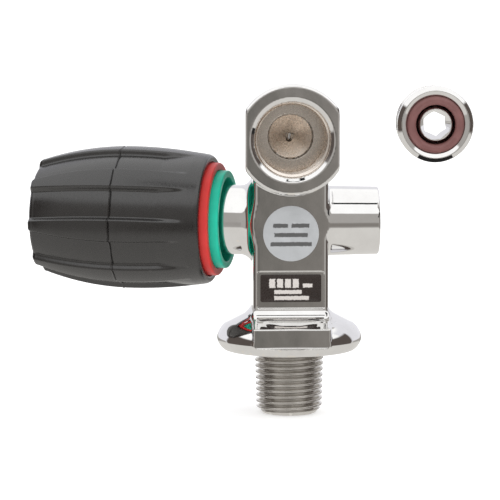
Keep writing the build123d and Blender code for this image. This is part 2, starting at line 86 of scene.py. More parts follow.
HEAD_Z = 66.0
HEAD_FRONT_Y = -20.0
HEAD_BACK_Y = 15.5
HEAD_DEPTH = HEAD_BACK_Y - HEAD_FRONT_Y
HEAD_RADIUS = 16.9
HEAD_HALF_WIDTH = 14.2
HEAD_CHAMFER = 0.7
HEAD_TAPER = 3.5 / 27.5
HEAD_TAPER_START = 8
DIMPLE_RADIUS = 5
DIMPLE_DEPTH = 3.5
DIN_RADIUS = 11.456
DIN_DEPTH = 13
DIN_MOUTH_RADIUS = 12.8
DIN_MOUTH_SLOPE = 1.344
DIN_CREST_RADIUS = 10.5
THREAD_LINING = 0.14
BORED_FACES_RADIUS = 11.9
BORED_FACES_OUT = (-19.5, -0.9)
RECESS_RADIUS = 6.9
RECESS_DEPTH = 14.5
OUTLET_RADIUS = 1.2
OUTLET_START = (-6.5, 0.6, 42.0)
OUTLET_END = (0, -1.35, HEAD_Z)
OUTLET_LENGTH = 25.6
DRILL_POINT_HALF_ANGLE = radians(59)

TILT = radians(14.5)
NECK_RADIUS = 10.75
NECK_END = 24
ORIFICE_RADIUS = 2.0
SEAT_T = 4.5
CHAMBER_RADIUS = 5.9
BONNET_BORE_RADIUS = 8.6
BONNET_SEAT_T = 11.0
SLEEVE_CLAMP_RADIUS = 9
SLEEVE_CLAMP_END = 25.5
SLEEVE_INNER_RADIUS = 13
SLEEVE_OUTER_RADIUS = 15.1
SLEEVE_FACE_T = 19.3
RING_OUTER_RADIUS = 17.45
RING_FACE_T = 22.06
INDICATOR_BACK_T = 27
BARREL_INNER_RADIUS = 11.2
BARREL_END_T = 38

LIP_T = 24.5
LIP_RADIUS = 19.8
WIDEST_T = 50.0
WIDEST_RADIUS = 22.1
END_T = 79.0
END_RADIUS = 17.2
GRIP_BORE = 17.75
CORE_STEP_T = 64.0
CORE_STEP_RADIUS = 15.5
CORE_END_T = 74.0
CAP_RADIUS = 12.0
FLUTE_FIRST_ANGLE = radians(17.5)
FLUTE_SPACING = pi / 4
FLUTE_HALF_WIDTH = 4.9
FLUTE_DEPTH = 1.6
FLUTE_START_T = 28.5
FLUTE_FADE = 9.5

BURST_Z = 27.0
BURST_PAD_RADIUS = 8.0
BURST_PAD_Y = 14.5
BURST_BORE_RADIUS = 4.7
BURST_SEAT_Y = 5.4
BURST_VENT_RADIUS = 1.5

INSERT_CENTRE = (42.1, -31.0, 71.5)
INSERT_LENGTH = 10
INSERT_HEAD = 2.2
INSERT_THREAD_RADIUS = 11.4
INSERT_ROOT_RADIUS = 10.19
INSERT_THREAD_DEPTH = 1.1
INSERT_RIM_RADIUS = 10.0
INSERT_BEVEL_RADIUS = 10.15
INSERT_BOSS_RADIUS = 4.75
INSERT_BOSS_SLOPE = 0.5227
INSERT_HEX = 6.4
INSERT_HEX_TURN = radians(96)
FACE_SLOPE = 0.464
FACE_GROOVE_RADIUS = 8.6
REAR_GROOVE = (7.3, 9.1)
REAR_GROOVE_START = 8.7
FACE_ORING = (7.2, 1.35, -0.8)
REAR_ORING = (8.2, 0.85, -9.55)

STICKER_CENTRE_Z = 36.7
STICKER_RADIUS = 8.5
STICKER_THICKNESS = 0.15
LABEL_CENTRE_Z = 19.8
LABEL_CORNER = (8.7, 3.65)
LABEL_CORNER_ROUND = 0.6
LABEL_THICKNESS = 0.2

DIAGONAL = sqrt(0.5)


# ---- frames: each turns world coordinates into (right, up, outward) of a piece's own axis ----
class Axes:
    def __init__(self, origin, right, up, outward):
        self.origin = np.array(origin, float)
        self.rows = np.array([right, up, outward], float)

    def local(self, points):
        return (points - self.origin) @ self.rows.T

    def world(self, points):
        return points @ self.rows + self.origin


CONTROL = Axes((0, -1, PORT_Z), (-sin(TILT), -cos(TILT), 0), (0, 0, 1), (-cos(TILT), sin(TILT), 0))
SOCKET = Axes((0, HEAD_FRONT_Y, HEAD_Z), (1, 0, 0), (0, 0, 1), (0, -1, 0))
SIDE = Axes((0, 0, PORT_Z), (0, 1, 0), (0, 0, 1), (1, 0, 0))
REAR = Axes((0, 0, BURST_Z), (-1, 0, 0), (0, 0, 1), (0, 1, 0))
INSERT = Axes(INSERT_CENTRE, (1, 0, 0), (0, 0, 1), (0, -1, 0))
UPRIGHT = Axes((0, 0, 0), (1, 0, 0), (0, 1, 0), (0, 0, 1))


# ---- signed distances, negative inside ----
def join(a, b, radius):
    """The union of two solids with a fillet of the radius between them."""
    fillet = np.hypot(np.maximum(radius - a, 0), np.maximum(radius - b, 0))
    return np.maximum(radius, np.minimum(a, b)) - fillet


def meet(a, b, radius):
    """What two solids share, with the edge between them rounded."""
    rounding = np.hypot(np.maximum(radius + a, 0), np.maximum(radius + b, 0))
    return np.minimum(-radius, np.maximum(a, b)) + rounding


def cut(a, b, radius):
    return meet(a, -b, radius)


def cylinder(local, radius, low, high, rounding=0.0):
    rho = np.hypot(local[:, 0], local[:, 1])
    ends = np.maximum(low - local[:, 2], local[:, 2] - high)
    return meet(rho - radius, ends, rounding)


def slab(values, low, high):
    return np.maximum(low - values, values - high)


def hexagon(local, across_flats, turn):
    """Distance to a hexagonal prism without ends; at turn 0 a corner points right."""
    angle = np.arctan2(local[:, 1], local[:, 0]) - turn
    rho = np.hypot(local[:, 0], local[:, 1])
    sector = np.mod(angle, pi / 3) - pi / 6
    return rho * np.cos(sector) - across_flats / 2


def drill_cone(local, radius, depth):
    """The conical end of a blind hole whose cylinder stops at the depth."""
    rho = np.hypot(local[:, 0], local[:, 1])
    slope = DRILL_POINT_HALF_ANGLE
    below = -depth - local[:, 2]
    return np.maximum((rho - radius) * cos(slope) + below * sin(slope), -below - 0.01)


# ---- meshing a distance field ----
def surface_net(field, low, high, step):
    """Points and quads of the field's zero surface, moved on to it exactly, and normals from the field."""
    low = np.array(low, float)
    counts = np.ceil((np.array(high) - low) / step).astype(int) + 1
    xs, ys, zs = (low[i] + step * np.arange(counts[i]) for i in range(3))
    values = np.empty(counts, np.float32)
    for i, x in enumerate(xs):
        y, z = np.meshgrid(ys, zs, indexing="ij")
        plane = np.stack([np.full(y.size, x), y.ravel(), z.ravel()], axis=1)
        values[i] = field(plane).reshape(y.shape)
    inside = values < 0
    cells = tuple(n - 1 for n in counts)
    total = np.zeros(cells + (3,), np.float32)
    crossings = np.zeros(cells, np.float32)
    for axis in range(3):
        for first in (0, 1):
            for second in (0, 1):
                offset = [0, 0, 0]
                offset[(axis + 1) % 3] = first
                offset[(axis + 2) % 3] = second
                start = tuple(slice(offset[i], offset[i] + cells[i]) for i in range(3))
                shifted = list(offset)
                shifted[axis] = 1
                end = tuple(slice(shifted[i], shifted[i] + cells[i]) for i in range(3))
                a, b = values[start], values[end]
                crossed = inside[start] != inside[end]
                share = np.where(crossed, a / np.where(crossed, a - b, 1), 0)
                for i in range(3):
                    total[..., i] += np.where(crossed, share if i == axis else offset[i], 0)
                crossings += crossed
    used = crossings > 0
    index = np.full(cells, -1, np.int64)
    index[used] = np.arange(used.sum())
    place = np.argwhere(used) + total[used] / crossings[used][:, None]
    points = low + step * place
    quads = []
    for axis in range(3):
        second, third = (axis + 1) % 3, (axis + 2) % 3
        here = [slice(1, cells[i]) for i in range(3)]
        here[axis] = slice(0, cells[axis])
        ahead = list(here)
        ahead[axis] = slice(1, cells[axis] + 1)
        outward = inside[tuple(here)] & ~inside[tuple(ahead)]
        inward = ~inside[tuple(here)] & inside[tuple(ahead)]
        for mask, order in ((outward, (0, 1, 2, 3)), (inward, (3, 2, 1, 0))):
            at = np.argwhere(mask)
            at[:, second] += 1
            at[:, third] += 1
            corners = []
            for back_second, back_third in ((1, 1), (0, 1), (0, 0), (1, 0)):
                corner = at.copy()
                corner[:, second] -= back_second
                corner[:, third] -= back_third
                corners.append(index[corner[:, 0], corner[:, 1], corner[:, 2]])
            quads.append(np.stack([corners[i] for i in order], axis=1))
    quads = np.concatenate(quads)
    start = points.copy()
    for _ in range(3):
        slope = gradient(field, points, 0.02)
        steepness = np.maximum((slope**2).sum(axis=1), 0.1)
        points = points - slope * (field(points) / steepness)[:, None]
        moved = points - start
        distance = np.linalg.norm(moved, axis=1, keepdims=True)
        points = start + moved * np.minimum(1, 0.7 * step / np.maximum(distance, 1e-9))
    normals = gradient(field, points, 0.35 * step)
    return points, quads, normals / np.maximum(np.linalg.norm(normals, axis=1, keepdims=True), 1e-9)


def gradient(field, points, step):
    parts = []
    for axis in range(3):
        offset = np.zeros(3)
        offset[axis] = step
        parts.append((field(points + offset) - field(points - offset)) / (2 * step))
    return np.stack(parts, axis=1)


# ---- making pieces ----
ARC_STEPS = 5
LONGEST_SIDE = 1.0
TURNED_SEGMENTS = 192
CORD_SEGMENTS = 160
CORD_SIDES = 24


def piece(name, points, faces, body, slot, replaces=(), normals=None, material=None):
    """A smooth mesh object, from points in millimetres, that rides on a body. Its slot gives its material."""
    mesh = bpy.data.meshes.new(name)
    mesh.from_pydata((np.asarray(points) * MM).tolist(), [], np.asarray(faces).tolist())
    mesh.validate()
    mesh.polygons.foreach_set("use_smooth", [True] * len(mesh.polygons))
    if normals is not None:
        mesh.normals_split_custom_set_from_vertices(np.asarray(normals, float).tolist())
    mesh.materials.append(material or MATERIALS[slot])
    made = bpy.data.objects.new(name, mesh)
    bpy.context.scene.collection.objects.link(made)
    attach(made, body)
    if replaces:
        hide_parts(*replaces)
    return made


def net_piece(name, field, low, high, step, body, slot, replaces, inner=None):
    """A piece from a distance field. The inner pair is a second material and a test for where it goes."""
    points, quads, normals = surface_net(field, low, high, step)
    made = piece(name, points, quads, body, slot, replaces, normals)
    if inner:
        made.data.materials.append(inner[0])
        centres = points[quads].mean(axis=1)
        made.data.polygons.foreach_set("material_index", inner[1](centres).astype(np.int32))


def loop_grid(rows, columns, closed_rows):
    """Quads of a grid whose columns run round the axis; its rows may close on themselves too."""
    row_count = rows if closed_rows else rows - 1
    r, c = np.meshgrid(np.arange(row_count), np.arange(columns), indexing="ij")
    below = (r + 1) % rows
    beside = (c + 1) % columns
    here, there = r * columns, below * columns
    return np.stack([here + c, here + beside, there + beside, there + c], axis=-1).reshape(-1, 4)


def even_turns(count):
    return np.arange(count) * 2 * pi / count


def swept_rows(axes, radius, height, angles):
    """World points of rows swept round an axis, one row for each radius and height."""
    local = np.stack([radius * np.cos(angles), radius * np.sin(angles), height + 0 * angles], axis=-1)
    return axes.world(local.reshape(-1, 3))


def softened(corners, rounding):
    """A closed outline of (radius, height) corners with each corner rounded, as far as its sides allow."""
    corners = [np.array(c, float) for c in corners]
    outline = []
    for i, corner in enumerate(corners):
        before, after = corners[i - 1], corners[(i + 1) % len(corners)]
        back, ahead = before - corner, after - corner
        back_length, ahead_length = np.linalg.norm(back), np.linalg.norm(ahead)
        back, ahead = back / back_length, ahead / ahead_length
        half = np.arccos(np.clip(back @ ahead, -1, 1)) / 2
        reach = min(rounding / tan(max(half, 0.05)), 0.45 * back_length, 0.45 * ahead_length)
        start, end = corner + back * reach, corner + ahead * reach
        for step in range(ARC_STEPS + 1):
            t = step / ARC_STEPS
            outline.append((1 - t) ** 2 * start + 2 * t * (1 - t) * corner + t**2 * end)
    return np.array(outline)


def refined(outline, longest):
    """The same closed outline with its long sides divided."""
    points = []
    for i, start in enumerate(outline):
        end = outline[(i + 1) % len(outline)]
        pieces = max(1, int(np.ceil(np.linalg.norm(end - start) / longest)))
        points.extend(start + (end - start) * k / pieces for k in range(pieces))
    return np.array(points)


def turned_piece(name, axes, corners, rounding, body, slot, replaces):
    """A ring turned about an axis from a closed outline clear of the axis. Its corners run anticlockwise."""
    outline = refined(softened(corners, rounding), LONGEST_SIDE)
    points = swept_rows(axes, outline[:, 0:1], outline[:, 1:2], even_turns(TURNED_SEGMENTS))
    piece(name, points, loop_grid(len(outline), TURNED_SEGMENTS, True), body, slot, replaces)


def ring_cord(name, axes, mean_radius, cord_radius, height, body, slot, replaces):
    """An O-ring."""
    around = even_turns(CORD_SIDES)[:, None]
    radius = mean_radius + cord_radius * np.cos(around)
    rise = height + cord_radius * np.sin(around)
    points = swept_rows(axes, radius, rise, even_turns(CORD_SEGMENTS))
    piece(name, points, loop_grid(CORD_SIDES, CORD_SEGMENTS, True), body, slot, replaces)


# ---- materials ----
NOISE_ROUGHNESS = 0.55


class Graph:
    """Adds nodes to a node tree. An input is a plain value or another node's output."""

    def __init__(self, tree):
        self.tree = tree

    def node(self, kind, inputs=(), **settings):
        made = self.tree.nodes.new(kind)
        for key, value in settings.items():
            setattr(made, key, value)
        for key, value in dict(inputs).items():
            self.feed(made.inputs[key], value)
        return made

    def feed(self, socket, value):
        if isinstance(value, bpy.types.NodeSocket):
            self.tree.links.new(value, socket)
        else:
            socket.default_value = value

    def math(self, operation, a, b=0.0):
        return self.node("ShaderNodeMath", {0: a, 1: b}, operation=operation).outputs[0]

    def remap(self, value, low, high, to_low=0.0, to_high=1.0, **settings):
        ends = {"Value": value, "From Min": low, "From Max": high, "To Min": to_low, "To Max": to_high}
        return self.node("ShaderNodeMapRange", ends, **settings).outputs["Result"]

    def mix(self, share, a, b):
        return self.node("ShaderNodeMix", {0: share, 6: a, 7: b}, data_type="RGBA").outputs[2]


class Shader(Graph):
    """Builds one node material step by step."""

    def __init__(self, name):
        self.material = bpy.data.materials.new(name)
        self.material.use_nodes = True
        super().__init__(self.material.node_tree)
        self.surface = self.tree.nodes["Principled BSDF"]
        self.coords = self.tree.nodes.new("ShaderNodeTexCoord").outputs["Object"]

    def noise(self, scale, detail, coords=None):
        inputs = {"Scale": scale, "Detail": detail, "Roughness": NOISE_ROUGHNESS}
        made = self.node("ShaderNodeTexNoise", inputs)
        self.feed(made.inputs["Vector"], coords or self.coords)
        return made.outputs["Fac"]

    def edges(self, low, high):
        """1 on the mesh's outer edges and 0 elsewhere."""
        return self.remap(self.node("ShaderNodeNewGeometry").outputs["Pointiness"], low, high)

    def bump(self, height, strength, distance, normal=None):
        made = self.node("ShaderNodeBump", {"Height": height, "Strength": strength, "Distance": distance})
        if normal is not None:
            self.feed(made.inputs["Normal"], normal)
        return made.outputs["Normal"]

    def set(self, **values):
        for key, value in values.items():
            self.feed(self.surface.inputs[key.replace("_", " ")], value)
        return self.material


def colour(red, green, blue):
    return (red, green, blue, 1.0)


def grey(tone):
    return colour(tone, tone, tone)


def chrome_material():
    """Mirror plate: faint polishing waves, wiping haze, and edges polished a little thin."""
    s = Shader("polished_chrome")
    haze = s.noise(160.0, 5.0)
    fine = s.noise(900.0, 3.0)
    tone = s.mix(s.remap(haze, 0.35, 0.75), colour(0.80, 0.795, 0.785), colour(0.74, 0.73, 0.72))
    tone = s.mix(s.math("MULTIPLY", s.edges(0.53, 0.60), 0.35), tone, colour(0.86, 0.80, 0.70))
    roughness = s.remap(fine, 0.4, 0.8, 0.035, 0.085)
    wave = s.bump(s.noise(70.0, 2.0), 0.10, 0.0006)
    grain = s.bump(fine, 0.02, 0.0001, wave)
    return s.set(Base_Color=tone, Roughness=roughness, Metallic=1.0, Normal=grain)


def thread_material():
    """Bright metal straight off a lathe: fine turning marks, with the crests lightened as a painted
    highlight, so the roots look darker as painted shade.
    """
    s = Shader("thread_metal")
    light, dark = colour(0.72, 0.70, 0.67), colour(0.60, 0.58, 0.55)
    marks = s.node("ShaderNodeMapping", {"Vector": s.coords, "Scale": (60, 60, 9000)})
    streaks = s.noise(1.0, 3.0, coords=marks.outputs["Vector"])
    worn = s.noise(260.0, 5.0)
    tone = s.mix(s.remap(worn, 0.35, 0.75), light, dark)
    # painted highlight: the thread's crests are lightened, so its roots read darker as painted shade
    tone = s.mix(s.math("MULTIPLY", s.edges(0.52, 0.60), 0.6), tone, colour(0.92, 0.90, 0.87))
    roughness = s.remap(streaks, 0.3, 0.7, 0.16, 0.34)
    return s.set(Base_Color=tone, Roughness=roughness, Metallic=1.0, Normal=s.bump(streaks, 0.25, 0.00008))


def socket_material():
    """The socket's bored faces: turning rings about its axis draw the light out across them, and a painted
    shade line circles the recess's rim.
    """
    s = Shader("socket_metal")
    x, _, z = s.node("ShaderNodeSeparateXYZ", {"Vector": s.coords}).outputs
    rise = s.math("SUBTRACT", z, HEAD_Z * MM)
    radius = s.math("SQRT", s.math("ADD", s.math("MULTIPLY", x, x), s.math("MULTIPLY", rise, rise)))
    rings = s.node("ShaderNodeTexNoise", {"W": radius, "Scale": 5200.0, "Detail": 2.0}, noise_dimensions="1D")
    worn = s.noise(160.0, 3.0)
    tone = s.mix(s.remap(worn, 0.35, 0.75), colour(0.88, 0.81, 0.74), colour(0.82, 0.75, 0.68))
    # painted shade: a dark line round the rim of the recess, mixed into the metal's colour
    from_recess = s.math("ABSOLUTE", s.math("SUBTRACT", radius, 6.85 * MM))
    tone = s.mix(s.remap(from_recess, 0.10 * MM, 0.32 * MM, 0.75, 0.0), tone, colour(0.10, 0.08, 0.06))
    tone = s.mix(s.math("MULTIPLY", s.edges(0.53, 0.60), 0.4), tone, colour(0.86, 0.82, 0.78))
    roughness = s.remap(s.noise(700.0, 3.0), 0.3, 0.7, 0.22, 0.32)
    normal = s.bump(rings.outputs["Fac"], 0.22, 0.00003)
    return s.set(Base_Color=tone, Roughness=roughness, Metallic=1.0, Normal=normal)


PRINT_BLUR = 0.08


def label_material(name, ground, ink, centre_z, bars, roughness):
    """A label whose print is plain bars of (x, z, width, height) in mm from its centre."""
    s = Shader(name)
    x, _, z = s.node("ShaderNodeSeparateXYZ", {"Vector": s.coords}).outputs
    ragged = s.remap(s.noise(2600.0, 3.0), 0.3, 0.7, -0.12 * MM, 0.12 * MM)
    printed = 0.0
    for bar_x, bar_z, width, height in bars:
        share = 1.0
        for value, centre, size in ((x, bar_x, width), (z, bar_z + centre_z, height)):
            away = s.math("ABSOLUTE", s.math("SUBTRACT", value, centre * MM))
            away = s.math("ADD", away, ragged)
            inside = s.remap(away, (size / 2 - PRINT_BLUR) * MM, (size / 2 + PRINT_BLUR) * MM, 1.0, 0.0)
            share = s.math("MULTIPLY", share, inside)
        printed = s.math("MAXIMUM", printed, share)
    mottled = s.noise(240.0, 5.0)
    paper = s.mix(s.remap(mottled, 0.35, 0.7), colour(*ground), colour(*(0.9 * v for v in ground)))
    paper = s.mix(s.math("MULTIPLY", s.edges(0.53, 0.62), 0.4), paper, colour(*(1.3 * v for v in ground)))
    tone = s.mix(printed, paper, colour(*ink))
    fine = s.noise(1500.0, 4.0)
    rough = s.remap(fine, 0.3, 0.7, roughness, roughness + 0.12)
    return s.set(Base_Color=tone, Roughness=rough, Normal=s.bump(fine, 0.12, 0.00005))


STICKER_BARS = (
    (-3.2, 2.43, 4.6, 1.25),
    (2.9, 2.43, 5.4, 1.25),
    (0, -0.43, 10.2, 1.25),
    (0, -3.23, 12.6, 1.25),
)
LABEL_BARS = (
    *((-5.7 + 2.4 * k, 1.54, 1.8, 2.7) for k in range(4)),
    (5.1, 0.85, 2.9, 1.2),
    (-0.86, -1.13, 8.4, 1.2),
    (0.24, -2.98, 10.6, 1.2),
)


def plain_material(name, light, dark, roughness, metallic=0.0, bump=0.2, edge=None, specular=0.5):
    """Moulded or machined stock with mottled colour, fine grain and rubbed edges; an edge colour lighter than
    the stock paints a highlight along the edges.
    """
    s = Shader(name)
    mottled = s.noise(220.0, 5.0)
    fine = s.noise(1400.0, 4.0)
    tone = s.mix(s.remap(mottled, 0.35, 0.7), light, dark)
    # edges go toward the edge colour: rubbed wear, and a painted highlight where a lighter edge colour is
    # given
    tone = s.mix(s.math("MULTIPLY", s.edges(0.53, 0.62), 0.5), tone, edge or light)
    rough = s.remap(fine, 0.3, 0.7, max(roughness - 0.05, 0.02), roughness + 0.06)
    s.surface.inputs["Specular IOR Level"].default_value = specular
    return s.set(Base_Color=tone, Roughness=rough, Metallic=metallic, Normal=s.bump(fine, bump, 0.00006))


MATERIALS = {
    "polished_chrome": chrome_material(),
    "thread_metal": thread_material(),
    "socket_metal": socket_material(),
    "brass": plain_material("brass", colour(0.70, 0.53, 0.28), colour(0.55, 0.40, 0.20), 0.3, metallic=1.0),
    "steel": plain_material("steel", grey(0.60), colour(0.45, 0.45, 0.46), 0.3, metallic=1.0),
    "copper_disc": plain_material(
        "copper_disc", colour(0.78, 0.42, 0.28), colour(0.6, 0.3, 0.2), 0.3, metallic=1.0
    ),
    # the rubber's edge colour is a painted highlight along the grip's ridges and rims
    "black_rubber": plain_material(
        "black_rubber", colour(0.009, 0.0075, 0.0070), colour(0.006, 0.005, 0.0046), 0.24,
        edge=colour(0.030, 0.026, 0.024), specular=1.0, bump=0.04,
    ),
    "black_plastic": plain_material("black_plastic", colour(0.03, 0.03, 0.032), grey(0.02), 0.4),
    "red_plastic": plain_material(
        "red_plastic", colour(0.63, 0.040, 0.036), colour(0.57, 0.034, 0.030), 0.35, specular=0.25
    ),
    "green_plastic": plain_material(
        "green_plastic", colour(0.012, 0.50, 0.34), colour(0.010, 0.45, 0.30), 0.35, specular=0.25
    ),
    "brown_oring": plain_material(
        "brown_oring", colour(0.20, 0.085, 0.080), colour(0.15, 0.060, 0.056), 0.35
    ),
    "black_oring": plain_material("black_oring", grey(0.02), grey(0.012), 0.35),
    "white_nylon": plain_material("white_nylon", colour(0.8, 0.79, 0.74), colour(0.7, 0.69, 0.64), 0.45),
    "grey_sticker": label_material(
        "grey_sticker", (0.42, 0.43, 0.44), (0.09, 0.09, 0.09), STICKER_CENTRE_Z, STICKER_BARS, 0.35
    ),
    "black_label": label_material(
        "black_label", (0.030, 0.021, 0.018), (0.62, 0.58, 0.55), LABEL_CENTRE_Z, LABEL_BARS, 0.22
    ),
}

# ---- the forged body ----
def foot_field(x, y, z, flange):
    """The flange with its foot: the wedge between the stamp flat and the column."""
    outer_top = FLANGE_RIM_TOP + (FLANGE_RADIUS + STAMP_FLAT_Y) * FLANGE_SLOPE
    foot_top = (z - outer_top - (y - STAMP_FLAT_Y) * FOOT_SLOPE) / np.hypot(1, FOOT_SLOPE)
    foot_side = np.abs(x) - STAMP_FLAT_HALF_WIDTH
    flange = cut(flange, np.maximum(np.maximum(foot_side, -foot_top), y - COLUMN_FRONT_Y - 3), 0.2)
    foot_ends = np.maximum(STAMP_FLAT_BOTTOM - z, slab(y, STAMP_FLAT_Y - 2.8, COLUMN_FRONT_Y + 1))
    flange = join(flange, np.maximum(meet(foot_side, foot_top, 0.4), foot_ends), 0.4)
    return cut(flange, np.maximum(y - STAMP_FLAT_Y, STAMP_FLAT_BOTTOM - z), 0.35)


def flange_field(x, y, z):
    rho = np.hypot(x, y)
    cone = (z - FLANGE_RIM_TOP - (FLANGE_RADIUS - rho) * FLANGE_SLOPE) * cos(FLANGE_LEAN)
    lower = (rho - z - FLANGE_RADIUS + FLANGE_LOWER_CHAMFER) * DIAGONAL
    rim = meet(rho - FLANGE_RADIUS, lower, 1.4)
    flange = meet(meet(rim, cone, FLANGE_TOP_ROUND), -z, 0.2)
    return foot_field(x, y, z, flange)


def waist_field(x, y, z, side, control):
    """The column with the side boss and the neck."""
    middle = (COLUMN_FRONT_Y + COLUMN_BACK_Y) / 2
    half_depth = COLUMN_BACK_Y - middle
    column = meet(np.abs(x) - COLUMN_HALF_WIDTH, np.abs(y - middle) - half_depth, COLUMN_EDGE_ROUND)
    column = np.maximum(column, slab(z, 5, COLUMN_TOP))
    side_out = side[:, 2]
    flare = SIDE_BOSS_FLARE * np.clip((SIDE_BOSS_END_X - side_out) / SIDE_BOSS_LENGTH, 0, 1)
    boss_side = np.hypot(side[:, 0], side[:, 1]) - SIDE_BOSS_RADIUS - flare
    boss = meet(boss_side, slab(side_out, 5, SIDE_BOSS_END_X), 0.6)
    waist = join(column, boss, 1.0)
    waist = join(waist, cylinder(control, NECK_RADIUS, SEAT_T, NECK_END, 0.5), 3.5)
    return np.maximum(waist, COLUMN_FRONT_Y - y)


def head_field(across, rho, out):
    sloping = (rho - HEAD_RADIUS - (out + HEAD_TAPER_START) * HEAD_TAPER) / np.hypot(1, HEAD_TAPER)
    head = meet(np.maximum(rho - HEAD_RADIUS, sloping), np.maximum(out, -out - HEAD_DEPTH), 0.1)
    head = meet(head, (rho + out - HEAD_RADIUS + HEAD_CHAMFER) * DIAGONAL, 0.15)
    return meet(head, np.abs(across) - HEAD_HALF_WIDTH, 0.3)


def outlet_passage(points):
    rise = np.array(OUTLET_END) - OUTLET_START
    rise = rise / np.linalg.norm(rise)
    from_start = points - np.array(OUTLET_START)
    along = from_start @ rise
    wall = np.linalg.norm(from_start - along[:, None] * rise, axis=1) - OUTLET_RADIUS
    return np.maximum(wall, slab(along, 0, OUTLET_LENGTH))


def body_field(points):
    x, y, z = points.T
    side = SIDE.local(points)
    rear = REAR.local(points)
    control = CONTROL.local(points)
    behind = y - COLUMN_FRONT_Y
    root = np.where(behind < 0.5, 3.2, 0.6 + 1.9 * np.clip((behind - 2) / 5, 0, 1))
    body = join(flange_field(x, y, z), waist_field(x, y, z, side, control), root)
    socket = SOCKET.local(points)
    rho = np.hypot(socket[:, 0], socket[:, 1])
    out = socket[:, 2]
    body = join(body, head_field(socket[:, 0], rho, out), 1.2)
    body = join(body, cylinder(rear, BURST_PAD_RADIUS, BURST_SEAT_Y, BURST_PAD_Y, 0.5), 1.5)

    bore = np.maximum(rho - DIN_RADIUS - THREAD_LINING, -out - DIN_DEPTH)
    mouth = (rho - DIN_MOUTH_RADIUS - DIN_MOUTH_SLOPE * out) / np.hypot(1, DIN_MOUTH_SLOPE)
    body = cut(body, np.minimum(bore, mouth), 0.12)
    recess = np.maximum(rho - RECESS_RADIUS, -out - RECESS_DEPTH)
    body = cut(body, np.minimum(recess, drill_cone(socket, RECESS_RADIUS, RECESS_DEPTH)), 0.15)
    dimple = (rho - DIMPLE_RADIUS) * DIMPLE_DEPTH + (HEAD_DEPTH + out) * DIMPLE_RADIUS
    body = cut(body, dimple / np.hypot(DIMPLE_DEPTH, DIMPLE_RADIUS), 0.2)
    pocket = meet(np.abs(x) - POCKET_HALF_WIDTH, np.abs(z - POCKET_CENTRE_Z) - POCKET_HALF_HEIGHT, 0.8)
    body = cut(body, np.maximum(pocket, behind - POCKET_DEPTH), 0.2)
    side_bore_end = SIDE_BOSS_END_X - SIDE_BORE_DEPTH
    for hole in (
        cylinder(control, ORIFICE_RADIUS, -2, SEAT_T + 1.5),
        cylinder(control, CHAMBER_RADIUS, SEAT_T, NECK_END + 2),
        cylinder(control, BONNET_BORE_RADIUS, BONNET_SEAT_T, NECK_END + 2),
        cylinder(points, TANK_BORE_RADIUS, -NPT_LENGTH - 10, PORT_Z + 2.5),
        outlet_passage(points),
        cylinder(side, SIDE_BORE_RADIUS, side_bore_end, SIDE_BOSS_END_X + 2.6),
        cylinder(side, SIDE_PASSAGE_RADIUS, 1.0, side_bore_end + 1),
        cylinder(rear, BURST_BORE_RADIUS, BURST_SEAT_Y, BURST_PAD_Y + 1.5),
        cylinder(rear, BURST_VENT_RADIUS, 1.0, BURST_SEAT_Y + 1),
    ):
        body = cut(body, hole, 0.15)
    return body


def in_socket(points):
    """True for the socket's bored faces, inside its polished bevel."""
    local = SOCKET.local(points)
    rho = np.hypot(local[:, 0], local[:, 1])
    low, high = BORED_FACES_OUT
    return (rho < BORED_FACES_RADIUS) & (local[:, 2] < high) & (local[:, 2] > low)


def valve_body():
    step = 0.4
    castings = ("valve_flange", "valve_block", "outlet_head", "control_neck", "side_stub")
    low, high = (-27, -23.3, -0.7), (28.5, 23.5, 83.6)
    inner = (MATERIALS["socket_metal"], in_socket)
    net_piece("forged_body", body_field, low, high, step, "valve", "polished_chrome", castings, inner)


RIDGE_BASE = 0.47
RIDGE_CREST = 0.15


def thread_height(turns):
    """How far a V ridge stands, 0 to 1, at a place that many turns along its helix."""
    distance = np.abs(np.mod(turns, 1.0) - 0.5)
    rise = np.clip((RIDGE_BASE - distance) / (RIDGE_BASE - RIDGE_CREST), 0, 1)
    return rise * rise * (1.6 - 0.6 * rise)


def tank_thread():
    """The tapered tank thread, with its end face and the mouth of the dip tube's hole."""
    angles = even_turns(180)
    height = np.linspace(0, -NPT_LENGTH, 240)[:, None]
    crest = NPT_TOP_RADIUS + height * NPT_TAPER
    ridge = thread_height(height / THREAD_PITCH - angles / (2 * pi))
    ridge = ridge * np.clip((-0.45 - height) / 0.9, 0, 1)
    radius = crest - NPT_DEPTH + NPT_DEPTH * ridge
    end_radius = NPT_TOP_RADIUS - NPT_LENGTH * NPT_TAPER - NPT_END_CHAMFER
    radius = np.minimum(radius, end_radius + (height + NPT_LENGTH))
    inner = np.array([
        (6.4, -NPT_LENGTH),
        (DIP_TUBE_RADIUS + 0.6, -NPT_LENGTH),
        (DIP_TUBE_RADIUS, 0.4 - NPT_LENGTH),
        (DIP_TUBE_RADIUS, -15),
        (DIP_TUBE_RADIUS, -DIP_TUBE_DEPTH),
        (TANK_BORE_RADIUS, -DIP_TUBE_DEPTH),
        (TANK_BORE_RADIUS, -5),
        (TANK_BORE_RADIUS, 0),
    ])
    inner_radius = inner[:, 0:1] + 0 * angles
    radius, height = np.vstack([radius, inner_radius]), np.vstack([height, inner[:, 1:2]])
    points = swept_rows(UPRIGHT, radius, height, angles)
    quads = loop_grid(len(height), len(angles), True)[:, ::-1]
    piece("tank_thread", points, quads, "valve", "thread_metal", ("tank_stub",))


